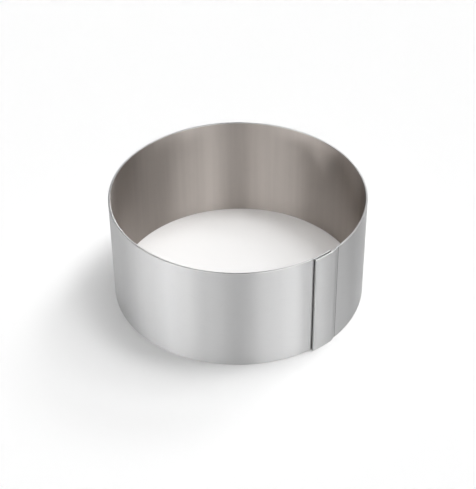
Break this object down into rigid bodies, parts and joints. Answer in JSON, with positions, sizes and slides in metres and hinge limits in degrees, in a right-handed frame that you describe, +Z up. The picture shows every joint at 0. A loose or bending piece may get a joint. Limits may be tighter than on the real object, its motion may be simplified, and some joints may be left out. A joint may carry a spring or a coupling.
{
  "type": "cake ring",
  "caption": "Plain open round cake ring of brushed stainless steel strip, closed by a joggled and spot welded lap joint.",
  "frame": {"origin": "on the ring's axis, in the plane of the lower rim that it stands on", "axes": "+Z up along the ring's axis; -Y towards the viewer of the picture, with the lap joint 52 degrees below +X seen from above"},
  "size_m": [0.1017, 0.1016, 0.045],
  "materials": {
    "band_steel": "fine satin, brushed along the strip",
    "weld_steel": "as welded"
  },
  "bodies": {
    "root": {"ring_band": "band_steel", "spot_weld_lower": "weld_steel", "spot_weld_middle": "weld_steel", "spot_weld_upper": "weld_steel"}
  },
  "joints": []
}
